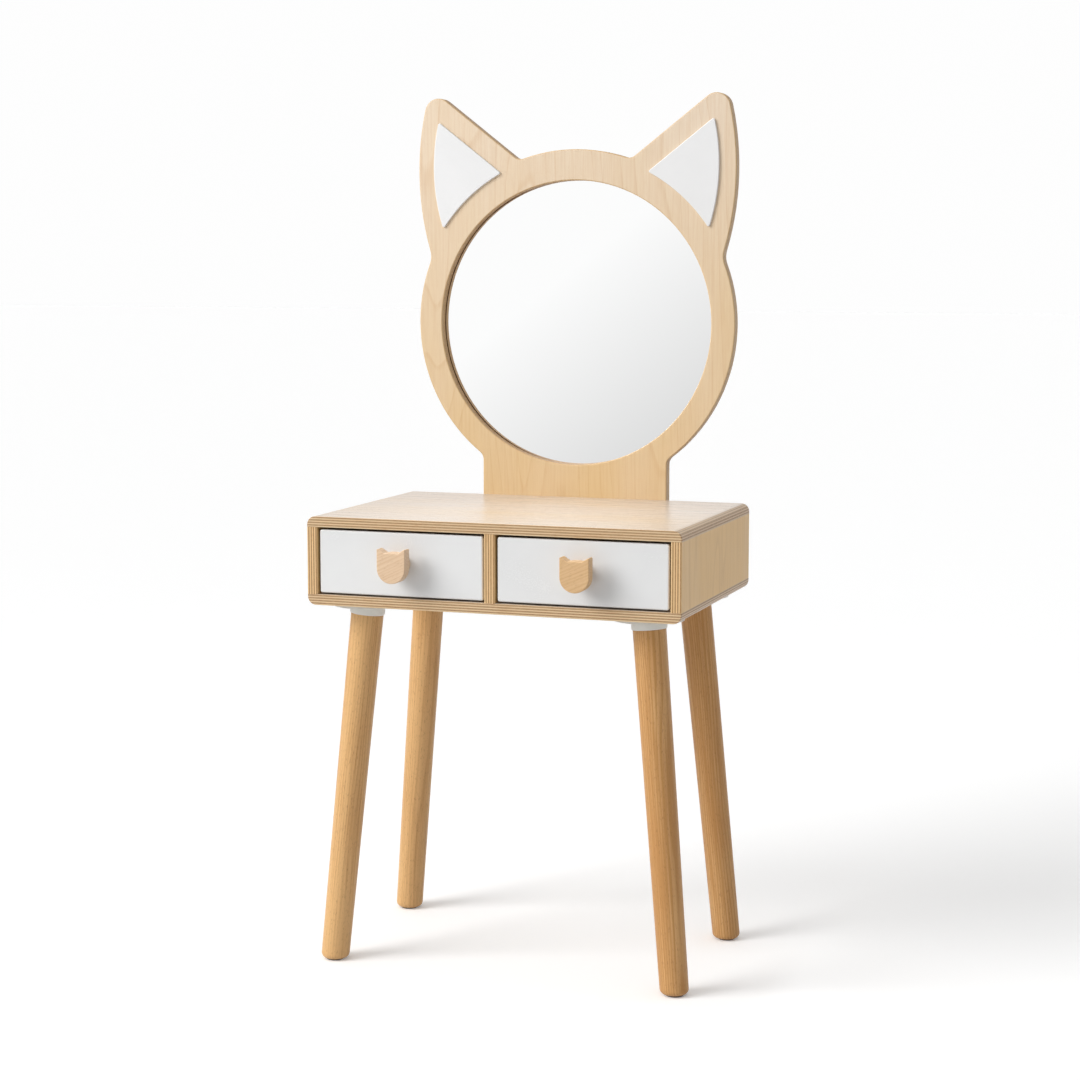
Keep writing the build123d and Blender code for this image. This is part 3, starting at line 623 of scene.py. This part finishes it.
# %% Knobs, dowels and stop blocks
KNOB_TONES = {
    "left": ((0.790, 0.585, 0.400), (0.690, 0.470, 0.290), (0.450, 0.250, 0.120)),
    "right": ((0.700, 0.460, 0.240), (0.580, 0.340, 0.150), (0.360, 0.180, 0.075)),
}
KNOB_SLANT = math.radians(24)
for side, tones in KNOB_TONES.items():
    knob_wood = Finish(f"{side}_knob_beech")
    along = knob_wood.x * math.cos(KNOB_SLANT) + knob_wood.z * math.sin(KNOB_SLANT)
    up = knob_wood.z * math.cos(KNOB_SLANT) - knob_wood.x * math.sin(KNOB_SLANT)
    material = beech(
        knob_wood, up, knob_wood.y, along, 60.0 + len(side), tones, gloss=0.42, flecked=0.25)
    dress(material, f"{side}_drawer_knob", f"{side}_drawer_knob_stem")

peg_wood = Finish("peg_beech")
peg_material = beech(
    peg_wood, peg_wood.y, peg_wood.z, peg_wood.x, 70.0, (BEECH_PALE, BEECH_DARK, BEECH_RAY),
    gloss=0.6)
dress(peg_material, "case_dowels", "left_drawer_dowels", "right_drawer_dowels",
      "left_drawer_stop", "right_drawer_stop")
print("beech materials:", len([m for m in bpy.data.materials if "beech" in m.name]))

# %% [markdown]
# ## Drawer boxes
#
# Behind the lacquered fronts the drawers are plain boxes of sawn pine, not sanded as finely
# as the rest. Pine has wide soft bands between its growth lines, so one slow wave across the
# board, bent a little by noise, makes the bands, and a fine noise makes the fibres.

# %% Pine drawer boxes
PINE_PALE = (0.760, 0.600, 0.380)
PINE_DARK = (0.650, 0.440, 0.220)
SWAY_PER_M = (3.0, 18.0)
PINE_FIBRES_PER_M = (30.0, 800.0)
PINE_YEARS_PER_M = 120.0


def pine(name, grain, across, seed):
    """Sawn pine board with its grain along one axis."""
    wood = Finish(name)
    at = {"X": wood.x, "Y": wood.y, "Z": wood.z}
    along, side = at[grain], at[across]
    sway = stretched(wood, along, side, wood.x * 3.0 + seed, SWAY_PER_M, 2.0, 0.5)
    year = (side * PINE_YEARS_PER_M + sway * 6.0).fraction()
    band = year.ramp(0.2, 0.9) * (1.0 - year.ramp(0.92, 1.0))
    fibre = stretched(wood, along, side, seed, PINE_FIBRES_PER_M, 3.0, 0.6)
    share = (band * 0.7 + (fibre - 0.5) * 0.6).at_least(0.0).at_most(1.0)
    wood.set("Base Color", wood.blend(share, PINE_PALE, PINE_DARK))
    wood.set("Roughness", 0.55 + fibre * 0.2)
    wood.relief(fibre + band * 0.4, 0.00008)
    return wood.material


for side in ("left", "right"):
    dress(pine(f"{side}_drawer_side_pine", "Y", "Z", 3.0), f"{side}_drawer_left_side",
          f"{side}_drawer_right_side")
    dress(pine(f"{side}_drawer_back_pine", "X", "Z", 8.0), f"{side}_drawer_back")
print("pine materials:", len([m for m in bpy.data.materials if "pine" in m.name]))

# %% [markdown]
# ## White lacquer and plastic
#
# The ear panels and the faces of the drawer fronts are sprayed with satin white lacquer.
# Sprayed paint dries with a very fine orange peel, so the reflection breaks up a little
# although the colour is even. The fronts are fibreboard. Behind the rounded rim of the face
# they are coloured dark brown: unpainted board on the back, and painted shade on the edges,
# which keeps the gaps round the drawers dark. The leg plates are moulded plastic: a creamier
# white with a finer sparkle from the mould.

# %% Sprayed lacquer and moulded plastic
LACQUER_DEPTH = 0.0035
LACQUER_FADES_IN = 0.0004
# Dark brown behind the lacquer: unpainted board on the back, painted shade on the edges in the
# gaps.
FIBREBOARD_GAP_SHADE = ((0.20, 0.13, 0.08), (0.30, 0.20, 0.12))
FLUFF_PER_M = 1400.0
FILM_PER_M = 14.0
THIN_FILM = 0.965


def sprayed(name, tone, gloss, peel_size, peel_depth, raw_board_and_shade_behind=None):
    """Sprayed or moulded white with a fine uneven surface, and behind a depth a dark brown that is
    painted shade on the edges.
    """
    paint = Finish(name, Specular_IOR_Level=0.5)
    peel = paint.noise(paint.place * (1.0 / peel_size), 2.0, 0.5)
    film = paint.noise(paint.place * FILM_PER_M, 3.0, 0.5)
    thin = tuple(channel * THIN_FILM for channel in tone)
    colour = paint.blend(film.ramp(0.3, 0.7), tone, thin)
    rough = gloss + film * 0.08 + peel * 0.04
    if raw_board_and_shade_behind is not None:
        # Behind that depth the colour turns dark brown, which is painted shade in the gaps round
        # the drawers.
        raw_board_and_gap_shade = paint.y.ramp(raw_board_and_shade_behind, raw_board_and_shade_behind + LACQUER_FADES_IN)
        fluff = paint.noise(paint.place * FLUFF_PER_M, 2.0, 0.6)
        colour = paint.blend(raw_board_and_gap_shade, colour, paint.blend(fluff, *FIBREBOARD_GAP_SHADE))
        rough = rough + raw_board_and_gap_shade * 0.45
    paint.set("Base Color", colour)
    paint.set("Roughness", rough)
    paint.relief(peel, peel_depth)
    return paint.material


front_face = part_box("left_drawer_front")[0].y
dress(sprayed("drawer_white_lacquer", (0.785, 0.790, 0.790), 0.20, 0.0016, 0.00003,
              front_face + LACQUER_DEPTH),
      "left_drawer_front", "right_drawer_front")
dress(sprayed("ear_white_lacquer", (0.830, 0.832, 0.835), 0.28, 0.0016, 0.00003),
      "left_ear_inlay", "right_ear_inlay")
dress(sprayed("leg_plate_plastic", (0.850, 0.835, 0.780), 0.38, 0.0007, 0.00002),
      *[f"{name}_plate" for name in LEG_NODES])
print("fronts are bare behind y", round(front_face + LACQUER_DEPTH, 4))

# %% [markdown]
# ## Mirror
#
# A mirror is silver behind glass. Seen from the front the glass only adds a faint green and a
# few specks of dust, so one metal skin with almost no roughness does for both. Against the
# left wall of the hole, where little light gets in, a dark brown line shows at the rim of
# the glass, and the distance from the middle of the glass draws it.

# %% Mirror glass
MIRROR_SEEN_R = 0.175
RIM_SHADOW = 0.0014
RIM_COLOUR = (0.060, 0.035, 0.018)
DUST_PER_M = 900.0
HAZE_PER_M = 9.0
glass = Finish("silvered_glass", Metallic=1.0)
dust = glass.noise(glass.place * DUST_PER_M, 1.0, 0.5).ramp(0.72, 0.80)
haze = glass.noise(glass.place * HAZE_PER_M, 3.0, 0.5)
middle = (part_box("mirror_glass")[0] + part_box("mirror_glass")[1]) / 2
from_middle = ((glass.x - middle.x) ** 2.0 + (glass.z - middle.z) ** 2.0) ** 0.5
rim = from_middle.ramp(MIRROR_SEEN_R - RIM_SHADOW, MIRROR_SEEN_R - RIM_SHADOW / 2)
silver = glass.blend(haze, (0.978, 0.981, 0.980), (0.968, 0.971, 0.970))
in_shade = (middle.x - glass.x).ramp(0.02, 0.10)
glass.set("Base Color", glass.blend(rim * in_shade, silver, RIM_COLOUR))
glass.set("Roughness", 0.006 + haze * 0.012 + dust * 0.12)
dress(glass.material, "mirror_glass")
print("middle of the mirror", [round(value, 4) for value in middle])

# %% [markdown]
# ## Hardboard cover
#
# The cover behind the glass is hardboard, brown wood fibre pressed to a sheet. Its fibres lie
# in all directions, so one noise, stretched only a little, gives the pale threads in it.

# %% Hardboard cover
hardboard = Finish("brown_hardboard", Specular_IOR_Level=0.35)
threads = hardboard.noise(hardboard.gather(
    hardboard.x * 260.0, hardboard.y * 260.0, hardboard.z * 900.0), 4.0, 0.7, 1.5)
shade = hardboard.noise(hardboard.place * 18.0, 3.0, 0.6)
pressed = (threads * 0.7 + shade * 0.5 - 0.1).at_least(0.0).at_most(1.0)
hardboard.set("Base Color", hardboard.blend(pressed, (0.150, 0.075, 0.035), (0.330, 0.190, 0.100)))
hardboard.set("Roughness", 0.62 + shade * 0.2)
hardboard.relief(threads, 0.00015)
dress(hardboard.material, "mirror_back_cover")
print("hardboard done")

# %% [markdown]
# ## Zinc plate
#
# The screws, washers, inserts and bolts are zinc plated steel. Zinc sets in small crystals,
# and each reflects a slightly different grey, which is what a Voronoi texture gives: one
# random value for each cell.

# %% Zinc plate
CRYSTALS_PER_M = 1500.0
zinc = Finish("zinc_plated_steel", Metallic=1.0)
crystal = zinc.node("ShaderNodeTexVoronoi", {"feature": "F1"},
                    {"Vector": zinc.place * CRYSTALS_PER_M}, "Color")
patch = zinc.node("ShaderNodeSeparateXYZ", None, {"Vector": crystal})
rubbed = zinc.noise(zinc.place * 300.0, 3.0, 0.6)
dull, bright = (0.46, 0.47, 0.48), (0.66, 0.66, 0.65)
zinc.set("Base Color", zinc.blend(patch * 0.6 + rubbed * 0.3, dull, bright))
zinc.set("Roughness", 0.26 + patch * 0.12 + rubbed * 0.12)
zinc.relief(rubbed, 0.00002)
dress(zinc.material, "leg_plate_inserts", "leg_hanger_bolts", "mirror_board_washers")
print("zinc done")

# %% [markdown]
# ## Rubber pads
#
# A thin pad of dark rubber is stuck under each foot. Rubber is matt, with a fine grit, and
# scuffed paler where it has rubbed on a floor.

# %% Rubber pads
rubber = Finish("dark_pad_rubber", Specular_IOR_Level=0.4)
grit = rubber.noise(rubber.place * 1400.0, 3.0, 0.6)
scuff = rubber.noise(rubber.place * 120.0, 3.0, 0.6)
rubber.set("Base Color", rubber.blend(scuff * 0.7 + grit * 0.3, grey(0.035), grey(0.085)))
rubber.set("Roughness", 0.65 + scuff * 0.2)
rubber.relief(grit, 0.00008)
dress(rubber.material, *[name.replace("_leg", "_foot_pad") for name in LEG_NODES])
print("finishes:", len(bpy.data.materials))

# %% [markdown]
# ## Cross-head screws
#
# The screws show from behind, from below and inside an open drawer, so they get real heads:
# a low dome with a cross pressed into it. A dome is a height over a disc, and so is the cross,
# so one polar grid whose points are pushed down inside the cross makes both at once. The place,
# length and width of each screw are read from the CAD screw that the new one stands for, and
# for that the screws of a node are first told apart: all points that edges join are one screw.

# %% The separate screws of a node
JOINED = 1e-6


def islands(mesh):
    """The separate solids of a mesh, each as a list of its points."""
    work = bmesh.new()
    work.from_mesh(mesh)
    bmesh.ops.remove_doubles(work, verts=work.verts, dist=JOINED)
    seen = set()
    groups = []
    for start in work.verts:
        if start in seen:
            continue
        seen.add(start)
        front = [start]
        group = []
        while front:
            vert = front.pop()
            group.append(vert.co.copy())
            for edge in vert.link_edges:
                other = edge.other_vert(vert)
                if other not in seen:
                    seen.add(other)
                    front.append(other)
        groups.append(group)
    work.free()
    return groups


print("screws behind the mirror:", len(islands(nodes["back_cover_screws"].data)))

# %% Screw heads pressed from a grid
HEAD_ROUNDS = 14
HEAD_SPOKES = 48
RIM_HEIGHT = 0.30
CROSS_HALF_WIDTH = 0.15
CROSS_REACH = 0.62
CROSS_DEPTH = 0.55
CROSS_WALL = 0.06
CROSS_END = 0.12
THREAD_PITCH = 0.0016
THREAD_DEPTH = 0.12
TIP_SHARE = 0.2
SLICE = 0.0015
BELOW_HEAD = 0.002


def cross_at(u, v):
    """1 inside the cross, 0 outside, for a point on a head of radius 1."""
    far = max(abs(u), abs(v))
    near = min(abs(u), abs(v))
    wall = min(1.0, max(0.0, (CROSS_HALF_WIDTH - near) / CROSS_WALL))
    end = min(1.0, max(0.0, (CROSS_REACH - far) / CROSS_END))
    return wall * end


def add_screw(work, points):
    """One cross-head screw where a plain CAD screw is."""
    low = Vector([min(p[i] for p in points) for i in range(3)])
    high = Vector([max(p[i] for p in points) for i in range(3)])
    length_axis = max(range(3), key=lambda i: high[i] - low[i])
    middle = (low + high) / 2
    across = [i for i in range(3) if i != length_axis]

    def reach(point):
        return max(abs(point[i] - middle[i]) for i in across)

    def spread(level):
        return max(reach(p) for p in points if abs(p[length_axis] - level) < SLICE)

    # The wider end is the head, and what lies well below it is the shank
    top, tip = high[length_axis], low[length_axis]
    if spread(tip) > spread(top):
        top, tip = tip, top
    radius = spread(top)
    outward = 1.0 if top > tip else -1.0
    head = max(round(abs(p[length_axis] - top), 5) for p in points if reach(p) > 0.98 * radius)
    core = max(reach(p) for p in points if abs(p[length_axis] - top) > head + BELOW_HEAD)
    length = abs(top - tip)

    def ring(size, drop, sunk=False):
        made = []
        for n in range(HEAD_SPOKES):
            turn = 2 * math.pi * n / HEAD_SPOKES
            u, v = size * math.cos(turn), size * math.sin(turn)
            depth = drop
            if sunk:
                depth += head * CROSS_DEPTH * cross_at(u / radius, v / radius)
            place = middle.copy()
            place[across[0]] += u
            place[across[1]] += v
            place[length_axis] = top - outward * depth
            made.append(work.verts.new(place))
        return made

    # Rings from the middle of the head out, down its rim and along the thread to the tip
    rings = []
    for n in range(1, HEAD_ROUNDS + 1):
        share = n / HEAD_ROUNDS
        rings.append(ring(radius * share, head * (1 - RIM_HEIGHT) * share ** 4, True))
    rings.append(ring(radius, head))
    rings.append(ring(core, head))
    turns = max(2, int((length - head) / THREAD_PITCH))
    for n in range(1, 2 * turns):
        size = core * (1 - THREAD_DEPTH * (n % 2))
        rings.append(ring(size, head + (length - head) * n / (2 * turns)))
    rings.append(ring(core * TIP_SHARE, length))
    centre = work.verts.new(middle)
    centre.co[length_axis] = top - outward * head * CROSS_DEPTH
    for n in range(HEAD_SPOKES):
        work.faces.new((centre, rings[0][n], rings[0][(n + 1) % HEAD_SPOKES]))
    for inner, outer in zip(rings, rings[1:]):
        for n in range(HEAD_SPOKES):
            m = (n + 1) % HEAD_SPOKES
            work.faces.new((inner[n], outer[n], outer[m], inner[m]))
    work.faces.new(rings[-1])


print("one head has", HEAD_ROUNDS * HEAD_SPOKES, "points")

# %% [markdown]
# ## New screws for old
#
# All screws of one CAD node become one mesh, which rides on the same body as the node did and
# takes its place in the model. Smooth shading is kept off the rims by angle, so the dome is
# round and the cross stays crisp.

# %% Replace the plain screws
SHARP_FROM = math.radians(35)


def cross_head_screws(node, body):
    """Replaces one node of plain screws by cross-head ones."""
    work = bmesh.new()
    groups = islands(nodes[node].data)
    for points in groups:
        add_screw(work, points)
    bmesh.ops.recalc_face_normals(work, faces=work.faces)
    mesh = bpy.data.meshes.new(f"{node}_cross_head")
    work.to_mesh(mesh)
    work.free()
    mesh.shade_smooth()
    mesh.set_sharp_from_angle(angle=SHARP_FROM)
    mesh.materials.append(zinc.material)
    piece = add_to_scene(f"{node}_cross_head", mesh)
    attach(piece, body)
    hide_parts(node)
    print(node, len(groups), "screws")


for node in ("mirror_board_screws", "back_cover_screws", "leg_plate_screws", "drawer_stop_screws"):
    cross_head_screws(node, "table")
for side in ("left", "right"):
    for what in ("screws", "knob_screw"):
        cross_head_screws(f"{side}_drawer_{what}", f"{side}_drawer")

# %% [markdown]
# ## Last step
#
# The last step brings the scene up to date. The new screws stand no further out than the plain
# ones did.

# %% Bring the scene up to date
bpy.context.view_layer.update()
